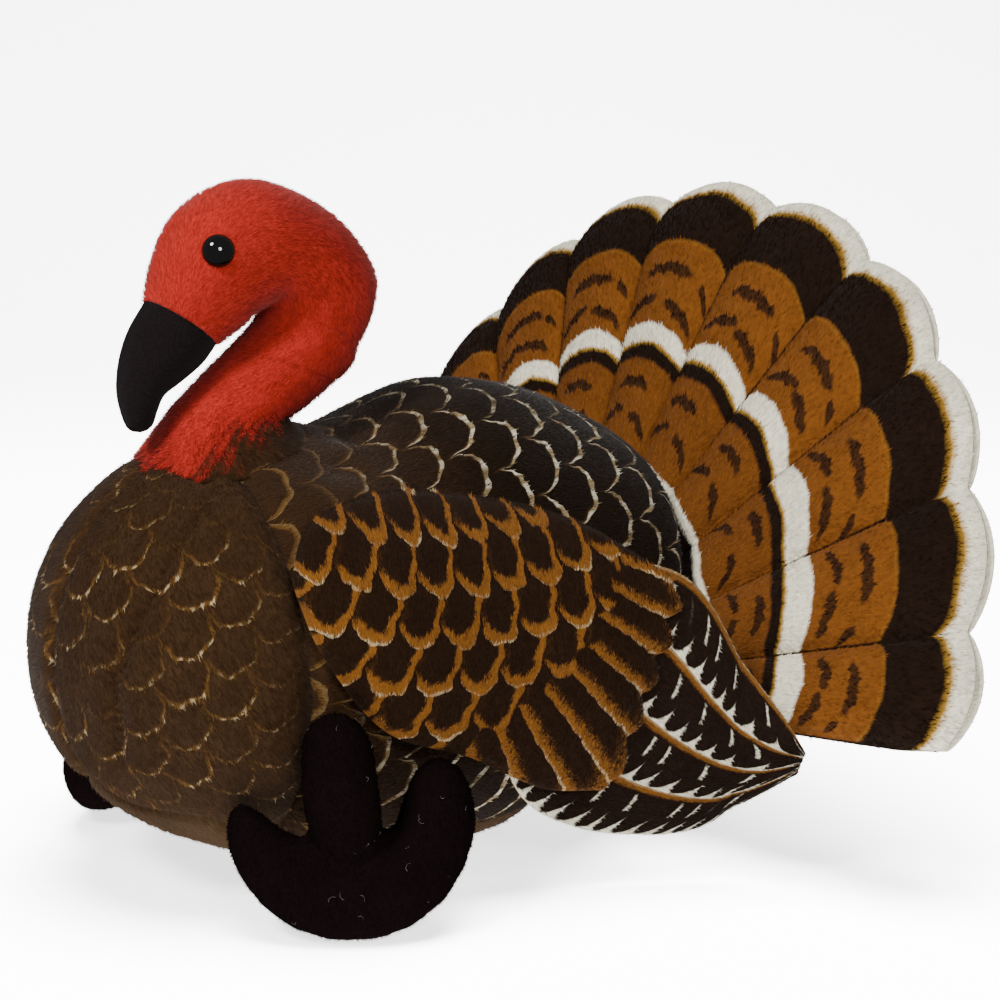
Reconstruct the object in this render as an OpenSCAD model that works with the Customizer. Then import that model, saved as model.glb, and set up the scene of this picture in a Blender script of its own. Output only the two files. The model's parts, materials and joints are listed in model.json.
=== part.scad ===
// Stuffed plush turkey lying on its belly, with a quilted fan tail.
// The bird faces -Y, its left side is +X and it rests on Z = 0. Millimetres.

/* [Body] */
// Half width of the body at its widest
body_half_w = 75; // [68:1:82]
// Height of the back above the ground
back_height = 153; // [145:1:160]
// Thickness of the plush skins
skin_t = 1.6; // [1:0.1:2.5]

/* [Head] */
// Half width of the head at the cheeks
head_half_w = 19; // [17:0.5:22]
// Diameter of the plastic eyes
eye_d = 10; // [7:0.5:12]
// Half width of the beak where it is sewn on
beak_half_w = 10.5; // [9:0.5:12]

/* [Tail] */
// Radius that sets the size of the fan
fan_r = 170; // [150:1:175]
// Angle that the fan leans back from upright
fan_lean = 25.5; // [20:0.5:30]
// Half thickness of a stuffed channel of the fan
fan_puff = 5.5; // [4:0.5:6]
// Angle between two quilting seams of the fan
lobe_step = 16.2; // [15.5:0.1:16.5]

/* [Wings] */
// Greatest thickness of the upper wing layer
wing_t = 7; // [5:0.5:8]
// Thickness of the flight feather layer
flight_t = 3.6; // [3:0.2:4.5]

/* [Legs] */
// Half thickness of a stuffed foot
foot_t = 9.5; // [8:0.5:11]
// Radius of a leg
leg_r = 9.5; // [8:0.5:10]

/* [Hidden] */
LOBES = 11;

RED = [0.78, 0.14, 0.08];
BLACK = [0.07, 0.06, 0.06];
BROWN = [0.25, 0.17, 0.10];
BACK_BROWN = [0.20, 0.14, 0.09];
RUST = [0.56, 0.28, 0.09];
CREAM = [0.87, 0.84, 0.76];
GAP = 0.15;  // between a skin and what fills it

// ---- curves and small vector helpers ----

// Smooth value through the rows of a table, with s from 0 to 1
function spline(rows, s) =
    let (last = len(rows) - 1, x = min(s * last, last - 1e-6), i = floor(x), t = x - i)
    let (a = rows[max(i - 1, 0)], b = rows[i], c = rows[i + 1], d = rows[min(i + 2, last)])
    (2 * b + (c - a) * t + (2 * a - 5 * b + 4 * c - d) * t * t
        + (3 * b - a - 3 * c + d) * t * t * t) / 2;
function mix(a, b, t) = a + (b - a) * t;
function clamp01(x) = min(max(x, 0), 1);
function ease(x) = let (t = clamp01(x)) t * t * (3 - 2 * t);
function unit(v) = v / norm(v);
function steps(n) = [for (i = [0:n]) i / n];

// ---- solids made from grids of points ----

// Two triangles for each cell between rows of n points, the rows joined in order
function cell_faces(rows, n, first, ring, flip) = [
    for (i = [0:rows - 2], j = [0:(ring ? n - 1 : n - 2)])
    let (a = first + i * n + j, b = first + i * n + (j + 1) % n)
    each flip ? [[a, b, b + n], [a, b + n, a + n]] : [[a, b + n, b], [a, a + n, b + n]]
];

// A filled solid through closed rings, its two ends closed to their middle points
module filled(rings) {
    rows = len(rings);
    n = len(rings[0]);
    points = [for (r = rings) each r];
    middle = [for (r = [rings[0], rings[rows - 1]]) [for (k = [0:2]) sum_of(r, k) / n]];
    polyhedron(
        concat(points, middle),
        concat(
            cell_faces(rows, n, 0, true, false),
            [for (j = [0:n - 1]) [rows * n, j, (j + 1) % n]],
            [for (j = [0:n - 1]) [rows * n + 1, (rows - 1) * n + (j + 1) % n, (rows - 1) * n + j]]
        )
    );
}
function sum_of(points, k, i = 0) = i == len(points) ? 0 : points[i][k] + sum_of(points, k, i + 1);

// A tube wall between outer rings and inner rings, open at both ends
module tube_wall(outer, inner) {
    rows = len(outer);
    n = len(outer[0]);
    m = rows * n;
    polyhedron(
        concat([for (r = outer) each r], [for (r = inner) each r]),
        concat(
            cell_faces(rows, n, 0, true, false),
            cell_faces(rows, n, m, true, true),
            [for (j = [0:n - 1]) let (k = (j + 1) % n) each [[j, k, m + k], [j, m + k, m + j]]],
            [for (j = [0:n - 1])
                let (a = (rows - 1) * n + j, b = (rows - 1) * n + (j + 1) % n)
                each [[a, m + a, m + b], [a, m + b, b]]]
        )
    );
}

// A closed sheet between an outer and an inner grid of points
module sheet(outer, inner) {
    rows = len(outer);
    n = len(outer[0]);
    m = rows * n;
    rim = concat(
        [for (j = [0:n - 1]) j],
        [for (i = [1:rows - 1]) i * n + n - 1],
        [for (j = [n - 2:-1:0]) (rows - 1) * n + j],
        [for (i = [rows - 2:-1:1]) i * n]
    );
    polyhedron(
        concat([for (r = outer) each r], [for (r = inner) each r]),
        concat(
            cell_faces(rows, n, 0, false, false),
            cell_faces(rows, n, m, false, true),
            [for (q = [0:len(rim) - 1])
                let (a = rim[q], b = rim[(q + 1) % len(rim)])
                each [[a, b, m + b], [a, m + b, m + a]]]
        )
    );
}

// The other side of the bird: x changes sign, and each row is reversed to keep the solid right side out
function mirrored(grid) = [for (r = grid) [for (j = [len(r) - 1:-1:0]) [-r[j][0], r[j][1], r[j][2]]]];

// ---- tail frame, used by the body too ----

fan_root = [0, 51.8, 40];
fan_normal = [0, -cos(fan_lean), sin(fan_lean)];
fan_up = [0, sin(fan_lean), cos(fan_lean)];
tail_gap = 2;  // free space between the body and the fan

// ---- body ----

// Stations from the breast to the rump: [y, z of the middle, half width, up, down, lean]
cap_middle = fan_root + 34 * fan_up + (fan_puff + tail_gap) * fan_normal;
body_rows = [
    [-136, 75, 0.6, 0.6, 0.6, 0],
    [-131, 75, 24, 25, 24, 0],
    [-117, 75, 45, 47, 44, 0],
    [-94, 75, 0.83 * body_half_w, 62, 60, 0],
    [-65, 75, 0.95 * body_half_w, 68, 71, 0],
    [-32, 75, 0.99 * body_half_w, 65, 78, 0],
    [0, 75, body_half_w, back_height - 75, 80, 5],
    [32, 76, 0.98 * body_half_w, 71, 78, 13],
    [54, 78, 0.93 * body_half_w, 56, 67, 20],
    [cap_middle[1], cap_middle[2], 0.8 * body_half_w, 46, 48, fan_lean],
    [cap_middle[1], cap_middle[2], 2, 2, 2, fan_lean]
];
neck_pivot = [0, -76, 142];
dish_middle = [0, -71, 142];  // the hollow in the body that the neck stands in
dish_r = 31;

function dish_depth(p, r) =
    let (rho = norm([p[0] - dish_middle[0], p[1] - dish_middle[1]]))
    p[2] > 90 && rho < r ? dish_middle[2] - sqrt(r * r - rho * rho) : 1000;
// A point of the body's surface; angle 0 is the top and 90 the bird's left
function body_raw(s, angle) =
    let (r = spline(body_rows, s), c = cos(angle), h = (c > 0 ? r[3] : r[4]) * c)
    [r[2] * sin(angle), r[0] + h * sin(r[5]), r[1] + h * cos(r[5])];
function body_normal(s, angle) =
    unit(cross(body_raw(s, angle + 1) - body_raw(s, angle - 1),
        body_raw(min(s + 0.004, 1), angle) - body_raw(max(s - 0.004, 0), angle)));
function body_point(s, angle, inset, r = dish_r) =
    let (p = body_raw(s, angle) - inset * body_normal(s, angle))
    [p[0], p[1], max(inset, min(p[2], dish_depth(p, r) - inset))];

body_steps = 30;
back_starts = 10;  // station where the breast panels end and the back panel begins
belly_starts = 4;
body_gap = 2;  // room between the flat facets of the panels and of the filling
dish_gap = 11;  // the same round the hollow, where the facets are steep
function at_station(i) = i / body_steps;
// Angle of the seam between the side panels and the belly at a station
function belly_seam(i) = 180 - 34 * ease((i - belly_starts) / 8);

function body_patch(first, last, from, to, cuts, inset) = [
    for (i = [first:last])
    [for (t = steps(cuts)) body_point(at_station(i), mix(from(i), to(i), t), inset)]
];

module body_panel(first, last, from, to, cuts, colour) {
    color(colour)
    sheet(body_patch(first, last, from, to, cuts, 0), body_patch(first, last, from, to, cuts, skin_t));
}
module breast_left() {
    body_panel(0, back_starts, function(i) 0, function(i) belly_seam(i), 9, BROWN);
}
module breast_right() {
    body_panel(0, back_starts, function(i) -belly_seam(i), function(i) 0, 9, BROWN);
}
module back_panel() {
    body_panel(back_starts, body_steps, function(i) -belly_seam(i), function(i) belly_seam(i), 18, BACK_BROWN);
}
module belly_panel() {
    body_panel(belly_starts + 1, body_steps, function(i) belly_seam(i), function(i) 360 - belly_seam(i), 4, BROWN);
}
module body_stuffing() {
    color(CREAM)
    filled([for (i = [1:body_steps - 1])
        [for (j = [0:23]) body_point(at_station(i), j * 15, skin_t + body_gap, dish_r + dish_gap)]]);
}

// ---- neck and head ----

// A rib is a ring round the neck or head: [front y, front z, back y, back z, half width]
RIB_CUTS = 16;
function rib_ring(r, inset) =
    let (f = [0, r[0], r[1]], b = [0, r[2], r[3]], m = (f + b) / 2, u = b - m, k = 1 - inset / norm(u))
    [for (j = [0:RIB_CUTS - 1]) let (t = 360 * j / RIB_CUTS)
        m + k * u * cos(t) + [(r[4] - inset) * sin(t), 0, 0]];
// Rings of a ball's cap about a middle, from its rim to its pole on the side of axis
function ball_rings(middle, axis, r, rim_angle, count) =
    let (back = unit(cross([1, 0, 0], axis)))
    [for (i = [1:count]) let (q = rim_angle * (1 - i / (count + 0.2)))
        [for (j = [0:RIB_CUTS - 1]) let (t = 360 * j / RIB_CUTS)
            middle + r * (cos(q) * axis + sin(q) * (cos(t) * back + [sin(t), 0, 0]))]];
function backwards(list) = [for (i = [len(list) - 1:-1:0]) list[i]];

neck_r = 20;
head_pivot = [0, -41.5, 173];
throat_axis = unit([0, 0.45, 0.89]);
throat_across = [0, throat_axis[2], -throat_axis[1]];
throat_r = 16.5;
throat_play = 1.5;  // between the head's ball and the hollow end of the neck
throat_rim = head_pivot - 6 * throat_axis;
neck_ribs = [
    [-96, 142, -56, 142, 20],
    [-88, 150.5, -50.5, 146.5, 17.5],
    [-78, 159.5, -43.5, 150, 16.5],
    [-68, 167.5, -36, 155, 16.5],
    [throat_rim[1] - 16.9 * throat_across[1], throat_rim[2] - 16.9 * throat_across[2],
        throat_rim[1] + 16.9 * throat_across[1], throat_rim[2] + 16.9 * throat_across[2], 16.9]
];
head_ribs = [
    [head_pivot[1] - throat_r * throat_across[1], head_pivot[2] - throat_r * throat_across[2],
        head_pivot[1] + throat_r * throat_across[1], head_pivot[2] + throat_r * throat_across[2], throat_r],
    [-57, 181.6, -20.5, 178, 0.92 * head_half_w],
    [-57.8, 182, -20, 191, 0.96 * head_half_w],
    [-58.6, 182, -30, 207, head_half_w],
    [-59.6, 181.4, -45, 216.5, head_half_w],
    [-61.5, 180, -62, 219.5, head_half_w],
    [-64.5, 178, -76, 216.5, 0.96 * head_half_w],
    [-68.5, 174.5, -87.5, 208.5, 0.88 * head_half_w],
    [-72.5, 172, -94.5, 195.5, 0.74 * head_half_w],
    [-76.4, 169.3, -98, 184.2, beak_half_w]
];
beak_ribs = [
    [-76.4, 169.3, -98, 184.2, beak_half_w],
    [-81, 164, -104, 175.9, 0.93 * beak_half_w],
    [-88.5, 158.8, -107.6, 167, 0.8 * beak_half_w],
    [-94, 155.4, -108.9, 158.1, 0.65 * beak_half_w],
    [-96.2, 151.4, -108, 151.4, 0.52 * beak_half_w],
    [-98, 146.6, -106, 146, 0.35 * beak_half_w],
    [-100.6, 144.5, -103, 144.3, 1.2]
];
function ribs(rows, inset) = [for (t = steps(2 * (len(rows) - 1))) rib_ring(spline(rows, t), inset)];

module neck_skin() {
    color(RED) tube_wall(ribs(neck_ribs, 0), ribs(neck_ribs, skin_t));
}
module neck_stuffing() {
    base = ball_rings(neck_pivot, [0, 0, -1], neck_r, 90, 5);
    hollow = ball_rings(head_pivot, -throat_axis, throat_r + throat_play, 58, 4);
    color(CREAM)
    filled(concat(backwards(base), ribs(neck_ribs, skin_t + GAP), hollow));
}
module head_skin() {
    color(RED) tube_wall(ribs(head_ribs, 0), ribs(head_ribs, skin_t));
}
module head_stuffing() {
    ball = ball_rings(head_pivot, -throat_axis, throat_r - skin_t - GAP, 90, 5);
    color(CREAM) filled(concat(backwards(ball), ribs(head_ribs, skin_t + GAP)));
}
module beak_skin() {
    outer = ribs(beak_ribs, 0);
    inner = ribs(beak_ribs, 1.0);
    color(BLACK) tube_wall(outer, inner);
}
module beak_stuffing() {
    rings = ribs(beak_ribs, 1.0 + GAP);
    color(CREAM) filled([for (i = [1:len(rings) - 2]) rings[i]]);
}

// The plastic eye: a dome on a shank that passes through the skin into a locking washer
eye_middle = [head_half_w - 3.6, -82, 199.5];
eye_turn = [0, 76, -26];
shank_r = 1.6;
shank_l = 8;
module placed_eye(side) {
    mirror([side < 0 ? 1 : 0, 0, 0]) translate(eye_middle) rotate(eye_turn) children();
}
module eye(side) {
    color(BLACK) placed_eye(side) {
        rotate_extrude($fn = 40) intersection() {
            scale([1, 0.72]) circle(d = eye_d, $fn = 40);
            square(eye_d);
        }
        translate([0, 0, -shank_l]) cylinder(r = shank_r, h = shank_l, $fn = 24);
    }
}
module eye_washer(side) {
    color([0.85, 0.85, 0.82]) placed_eye(side) translate([0, 0, -shank_l + 0.5])
    difference() {
        cylinder(r = 4.5, h = 1.2, $fn = 32);
        translate([0, 0, -1]) cylinder(r = shank_r, h = 4, $fn = 24);
    }
}

// ---- wings ----

// Outer reach of the wing surface along the body, from the breast to the fan: [y, x]
wing_reach = [[-110, 58], [-95, 68], [-80, 75], [-60, 81.5], [-20, 88], [20, 98], [45, 112], [56, 132]];
wing_middle_z = 75;
function wing_x(y, z) =
    let (base = lookup(y, wing_reach), up = clamp01((z - wing_middle_z) / 62), down = 1 - z / wing_middle_z)
    z > wing_middle_z ? base * sqrt(1 - 0.72 * up * up) : base * (1 - 0.08 * down * down);
// A point of the wing at a depth below its outer surface, from its place in side view
function wing_point(p, depth) = [wing_x(p[0], p[1]) - depth, p[0], p[1]];

// Edges of the upper layer and of the flight feathers in side view: [y, z]
cover_top = [[-86, 108], [-76, 122], [-50, 128.5], [-20, 125], [8, 116], [31, 98]];
cover_bottom = [[-86, 103], [-81, 84], [-64, 61], [-38, 50], [-12, 36], [10, 33]];
flight_top = [[2, 100], [18, 103], [35, 98], [44, 76], [52, 57], [56, 46]];
flight_bottom = [[-22, 54], [-17, 36], [-4, 23], [18, 16.5], [40, 19], [55, 38]];

function side_view(top, bottom, s, t) = mix(spline(top, s), spline(bottom, s), t);
function cover_depth(s, t) = 1.8 + (wing_t - 1.8) * pow(sin(180 * t) * sin(180 * pow(s, 0.9)), 0.6);
// How far the flight feathers lie under the wing's outer surface: tucked below the upper layer
function flight_depth(p) =
    let (beyond = p[0] - (10 + (p[1] - 33) * 21 / 65))
    beyond > 0 ? 2.6 * (1 - ease(beyond / 22)) : 2.6 + (wing_t - 1) * ease(-beyond / 14);

wing_cuts = 10;
cover_skin = 0.6;
function cover_layer(part, extra) = [
    for (s = steps(16))
    [for (t = steps(wing_cuts))
        wing_point(side_view(cover_top, cover_bottom, s, t),
            mix(cover_skin, cover_depth(s, t) - cover_skin, part) + extra)]
];
function flight_layer(depth) = [
    for (s = steps(12))
    [for (t = steps(wing_cuts))
        let (p = side_view(flight_top, flight_bottom, s, t))
        wing_point(p, flight_depth(p) + depth)]
];

module wing_sheet(outer, inner, side, colour) {
    color(colour) if (side > 0) sheet(outer, inner);
    else sheet(mirrored(outer), mirrored(inner));
}
module wing_cover(side) {
    wing_sheet(cover_layer(0, -cover_skin), cover_layer(0, 0), side, BACK_BROWN);
}
module wing_wadding(side) {
    wing_sheet(cover_layer(0, 0), cover_layer(1, 0), side, CREAM);
}
module wing_lining(side) {
    wing_sheet(cover_layer(1, 0), cover_layer(1, cover_skin), side, BROWN);
}
module wing_flight(side) {
    wing_sheet(flight_layer(0), flight_layer(flight_t), side, BLACK);
}

// ---- legs and feet ----

foot_base = [80.4, -79, 0.2];
FOOT_CUTS = 14;
foot_along = unit([0.6, 0.8, 0]);
foot_rise = 66;
foot_up = [-0.8 * cos(foot_rise), 0.6 * cos(foot_rise), sin(foot_rise)];
foot_out = cross(foot_along, foot_up);
// Middle line of the crescent foot from its front tip to its rear tip, where the front tip bends out
// round the breast: [along, up, half height, share of the thickness, out]
foot_rows = [
    [-34, 41, 1.5, 0.25, 4.2], [-33, 36, 6, 0.55, 4], [-27, 26, 10, 0.8, 3], [-15, 17.5, 13.5, 0.95, 1],
    [0, 14.5, 14.5, 1, 0], [14, 19, 14, 1, 0], [23, 30, 12.5, 1, 0], [25, 42, 11, 1, 0.5],
    [24.5, 51, 7, 0.86, 1], [24, 54.5, 1.5, 0.35, 1]
];
function foot_spot(r) = foot_base + r[0] * foot_along + r[1] * foot_up + r[4] * foot_out;
function foot_ring(s, inset) =
    let (r = spline(foot_rows, s), m = foot_spot(r))
    let (ahead = unit(foot_spot(spline(foot_rows, min(s + 0.02, 1))) - foot_spot(spline(foot_rows, max(s - 0.02, 0)))))
    let (across = cross(foot_out, ahead), thick = foot_t * r[3])
    [for (j = [0:FOOT_CUTS - 1]) let (t = 360 * j / FOOT_CUTS,
            p = m + max(r[2] - inset, 0.4) * cos(t) * across + max(thick - inset, 0.4) * sin(t) * foot_out)
        [p[0], p[1], max(p[2], inset)]];
function foot_rings(inset) = [for (s = steps(17)) foot_ring(s, inset)];

LEG_CUTS = 14;
leg_top = [79, -83, 62];
leg_foot = [74.2, -77.5, 37.5];
leg_axis = unit(leg_top - leg_foot);
leg_side = unit(cross(leg_axis, foot_along));
function leg_ring(s, inset) =
    let (reach = leg_r + norm(leg_top - leg_foot) / 2, q = 2 * s - 1)
    let (r = (leg_r - inset) * pow(1 - pow(abs(q), 3.2), 0.45), m = mix(leg_foot, leg_top, 0.5) + q * (reach - inset) * leg_axis)
    [for (j = [0:LEG_CUTS - 1]) let (t = 360 * j / LEG_CUTS)
        m + r * (cos(t) * foot_along * 1.15 + sin(t) * leg_side)];
function leg_rings(inset) = [for (s = steps(10)) leg_ring(0.015 + 0.97 * s, inset)];

module handed(side) {
    mirror([side < 0 ? 1 : 0, 0, 0]) children();
}
module leg_skin(side) {
    color(BLACK) handed(side) tube_wall(leg_rings(0), leg_rings(1.2));
}
module leg_stuffing(side) {
    color(CREAM) handed(side) filled(leg_rings(1.2 + GAP));
}
module foot_skin(side) {
    color(BLACK) handed(side) tube_wall(foot_rings(0), foot_rings(1.2));
}
module foot_stuffing(side) {
    color(CREAM) handed(side) filled(foot_rings(1.2 + GAP));
}

// ---- tail ----

fan_start = 8;  // radius at which the channels begin
fan_edge = 86;  // angle of the fan's lower edges from its middle line
fan_bend = 0.11 / 170;  // how much the sides of the fan curve back
function seam_angle(k) = k == 0 ? -fan_edge : k == LOBES ? fan_edge : (k - LOBES / 2) * lobe_step;
function fan_rim(angle, across) = fan_r * (0.978 + 0.131 * pow(cos(angle), 2)) * (1 + 0.03 * (1 - across * across));
// A point of the fan: its radius as a share of the rim, its angle, and its height over the middle surface
function fan_point(share, angle, across, height) =
    let (r = mix(fan_start, fan_rim(angle, across), share), x = r * sin(angle))
    [x, 0, 0] + fan_root + r * cos(angle) * fan_up + height * fan_normal + [0, fan_bend * x * x, 0];
fan_skin_t = 0.7;
// Half thickness of a channel: none at its seams and rim, and less near the root
function channel_height(share, across) =
    fan_skin_t + 0.15 + (fan_puff - 1) * pow(1 - across * across, 0.6)
        * pow(sin(180 * clamp01(0.06 + 0.94 * share * 0.55 + 0.45 * pow(share, 6) * 0.9)), 0.5);
function wadding_height(share, across) = 0.82 * (channel_height(share, across) - fan_skin_t);
lobe_cuts = 4;
fan_shares = [0, 0.12, 0.3, 0.5, 0.7, 0.86, 0.96, 1];

function lobe_columns(k, first) = [
    for (j = [first:lobe_cuts]) [mix(seam_angle(k), seam_angle(k + 1), j / lobe_cuts), 2 * j / lobe_cuts - 1]
];
fan_columns = [for (k = [0:LOBES - 1]) each lobe_columns(k, k == 0 ? 0 : 1)];
function fan_grid(side, inset) = [
    for (share = fan_shares)
    [for (c = fan_columns)
        fan_point(share, c[0], c[1], side * (channel_height(share, c[1]) - inset))]
];
module tail_front_skin() {
    color(RUST) sheet(fan_grid(1, 0), fan_grid(1, fan_skin_t));
}
module tail_back_skin() {
    color(BACK_BROWN) sheet(fan_grid(-1, fan_skin_t), fan_grid(-1, 0));
}
module tail_wadding(k) {
    columns = [for (c = lobe_columns(k - 1, 0)) [mix((seam_angle(k - 1) + seam_angle(k)) / 2, c[0], 0.9), c[1]]];
    color(CREAM)
    sheet(
        [for (q = fan_shares) let (share = 0.03 + 0.94 * q)
            [for (c = columns) fan_point(share, c[0], c[1], wadding_height(share, c[1]))]],
        [for (q = fan_shares) let (share = 0.03 + 0.94 * q)
            [for (c = columns) fan_point(share, c[0], c[1], -wadding_height(share, c[1]))]]
    );
}

breast_left();
breast_right();
back_panel();
belly_panel();
body_stuffing();
neck_skin();
neck_stuffing();
head_skin();
head_stuffing();
beak_skin();
beak_stuffing();
eye(1);  // eye_left
eye(-1);  // eye_right
eye_washer(1);  // eye_washer_left
eye_washer(-1);  // eye_washer_right
wing_cover(1);  // wing_cover_left
wing_cover(-1);  // wing_cover_right
wing_wadding(1);  // wing_wadding_left
wing_wadding(-1);  // wing_wadding_right
wing_lining(1);  // wing_lining_left
wing_lining(-1);  // wing_lining_right
wing_flight(1);  // wing_flight_left
wing_flight(-1);  // wing_flight_right
leg_skin(1);  // leg_skin_left
leg_skin(-1);  // leg_skin_right
leg_stuffing(1);  // leg_stuffing_left
leg_stuffing(-1);  // leg_stuffing_right
foot_skin(1);  // foot_skin_left
foot_skin(-1);  // foot_skin_right
foot_stuffing(1);  // foot_stuffing_left
foot_stuffing(-1);  // foot_stuffing_right
tail_front_skin();
tail_back_skin();
for (k = [1:LOBES]) tail_wadding(k);
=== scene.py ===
"""Looks of the stuffed plush turkey: printed plush skins, their pile of fibre tufts, and the studio."""
import json
import math

import bmesh
import bpy
import numpy as np
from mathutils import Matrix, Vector
from mathutils.bvhtree import BVHTree


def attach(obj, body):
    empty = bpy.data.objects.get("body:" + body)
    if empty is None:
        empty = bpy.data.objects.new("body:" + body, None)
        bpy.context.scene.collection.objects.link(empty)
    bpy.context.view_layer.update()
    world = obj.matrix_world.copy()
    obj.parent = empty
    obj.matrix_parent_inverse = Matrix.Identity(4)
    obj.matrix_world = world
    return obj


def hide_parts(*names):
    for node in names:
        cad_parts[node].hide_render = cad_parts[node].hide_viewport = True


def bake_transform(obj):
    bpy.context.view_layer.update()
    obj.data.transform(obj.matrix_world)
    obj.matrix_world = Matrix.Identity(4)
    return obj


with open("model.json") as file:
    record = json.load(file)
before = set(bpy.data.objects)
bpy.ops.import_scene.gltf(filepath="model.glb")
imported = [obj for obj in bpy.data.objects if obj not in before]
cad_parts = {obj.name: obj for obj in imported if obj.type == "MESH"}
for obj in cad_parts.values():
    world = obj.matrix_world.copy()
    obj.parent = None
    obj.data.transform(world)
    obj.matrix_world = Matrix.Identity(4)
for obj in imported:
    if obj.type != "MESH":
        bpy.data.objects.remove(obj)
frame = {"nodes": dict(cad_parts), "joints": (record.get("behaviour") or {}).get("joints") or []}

MM = 0.001
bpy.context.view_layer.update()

# ---------------------------------------------------------------- number fields
# A print is one formula that serves both the material's nodes and the tufts' arrays.

ARRAY_MATHS = {
    "ADD": np.add, "SUBTRACT": np.subtract, "MULTIPLY": np.multiply, "DIVIDE": np.divide,
    "FLOOR": np.floor, "FRACT": lambda x: x - np.floor(x), "ABSOLUTE": np.abs, "SQRT": np.sqrt,
    "SINE": np.sin, "MINIMUM": np.minimum, "MAXIMUM": np.maximum, "POWER": np.power,
    "LESS_THAN": lambda a, b: (a < b) * 1.0, "ARCTAN2": np.arctan2,
}


def op(kind, *terms):
    """One step of arithmetic, as a Math node if any term is a Field, or else on the arrays."""
    tree = next((t.tree for t in terms if isinstance(t, Field)), None)
    if tree is None:
        return ARRAY_MATHS[kind](*terms)
    node = tree.nodes.new("ShaderNodeMath")
    node.operation = kind
    for socket, term in zip(node.inputs, terms):
        if isinstance(term, Field):
            tree.links.new(term.socket, socket)
        else:
            socket.default_value = term
    return Field(tree, node.outputs[0])


class Field:
    """A number that varies over a material."""

    def __init__(self, tree, socket):
        self.tree, self.socket = tree, socket

    def __add__(self, other): return op("ADD", self, other)
    def __radd__(self, other): return op("ADD", other, self)
    def __sub__(self, other): return op("SUBTRACT", self, other)
    def __rsub__(self, other): return op("SUBTRACT", other, self)
    def __mul__(self, other): return op("MULTIPLY", self, other)
    def __rmul__(self, other): return op("MULTIPLY", other, self)
    def __truediv__(self, other): return op("DIVIDE", self, other)


def ramp(low, high, x):
    """0 where x is at low, 1 at high, straight in between. low may be above high."""
    if isinstance(x, Field):
        node = x.tree.nodes.new("ShaderNodeMapRange")
        node.inputs["From Min"].default_value, node.inputs["From Max"].default_value = low, high
        x.tree.links.new(x.socket, node.inputs["Value"])
        return Field(x.tree, node.outputs["Result"])
    return np.clip((x - low) / (high - low), 0, 1)


def mix(a, b, t): return a + (b - a) * t
def wave(x): return op("SINE", x)
def size(x): return op("ABSOLUTE", x)
def greater(a, b): return op("MAXIMUM", a, b)
def chance(number): return op("FRACT", wave(number * 12.9) * 43.7)
def fraction(x): return x - op("FLOOR", x)
def distance(a, b): return op("SQRT", a * a + b * b)


# ---------------------------------------------------------------- prints
# Each print takes its place on the cloth in millimetres, v towards the feather tips,
# and returns its inks in the order they are laid: [(ink, how much of it)].

INKS = {
    "breast": (0.038, 0.0185, 0.0080), "breast_light": (0.052, 0.029, 0.0135),
    "breast_rust": (0.12, 0.058, 0.014), "back": (0.0098, 0.0050, 0.0024),
    "wing": (0.0185, 0.0088, 0.0042), "rust": (0.205, 0.079, 0.0145),
    "gold": (0.36, 0.190, 0.026), "cream": (0.46, 0.36, 0.20), "white": (0.86, 0.79, 0.61),
    "fan_rust": (0.170, 0.0570, 0.0110), "fan_dark": (0.0135, 0.0072, 0.0046),
    "red": (0.42, 0.0270, 0.0185), "red_dark": (0.085, 0.0062, 0.0050),
    "black": (0.0058, 0.0032, 0.0033), "beak": (0.0105, 0.0076, 0.0078),
    "lining": (0.055, 0.030, 0.015),
}


def uneven(u, v, amount):
    """A hand-drawn wander of a line, in millimetres."""
    wander = wave(u * 0.43 + v * 0.21) + wave(v * 0.77 - u * 0.33 + 1.3)
    return (wander + wave(u * 1.3 + v * 1.1) * 0.5) * (amount / 2.5)


def scales(u, v, wide, long, straight=0.0, round_by=2.6):
    """Rows of scales, wide and long in mm, that close in a tip after a straight share of the row: an
    arc for round_by 2, squarer for more. Returns how far out in its scale a point lies (1 at the
    edge), how far along it, how far across it, and a number for the scale."""
    row = op("FLOOR", v / long)
    y = v / long - row

    def column(k):
        place = u / wide + k * 0.5
        cell = op("FLOOR", place)
        return (place - cell) * 2 - 1, cell + k * 7.3

    x_over, over = column(row)
    x_under, under = column(row + 1)
    tip = greater(y - straight, 0.0) / (1 - straight)
    powers = op("POWER", size(x_over), round_by) + op("POWER", tip, round_by)
    reach = op("POWER", powers, 1 / round_by)
    covered = op("LESS_THAN", reach, 1.0)
    choices = (size(x_under), reach), (y - 1, y), (x_under, x_over), (under, over)
    return [mix(below, above, covered) for below, above in choices]


def print_breast(u, v):
    edge, along, _, number = scales(u + uneven(u, v, 1.0), v + uneven(v, u, 0.9), 15.5, 10.0)
    some = ramp(0.15, 0.6, chance(number))
    patchy = ramp(-0.5, 0.6, wave(u * 0.045 + 0.6) + wave(v * 0.06 + u * 0.02) * 0.6)
    line = ramp(0.85, 0.92, edge) * ramp(-0.1, 0.5, along)
    dashed = ramp(-0.35, 0.35, wave(u * 1.9 + v * 1.1 + number))
    bright = ramp(0.90, 0.95, edge) * ramp(0.60, 0.90, along) * some * dashed
    return [("breast", 1.0), ("breast_light", ramp(0.95, 0.0, edge) * 0.35),
            ("breast_rust", line * (0.25 + 0.45 * some) * (0.35 + 0.65 * patchy)),
            ("cream", bright * (0.10 + 0.65 * patchy))]


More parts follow.
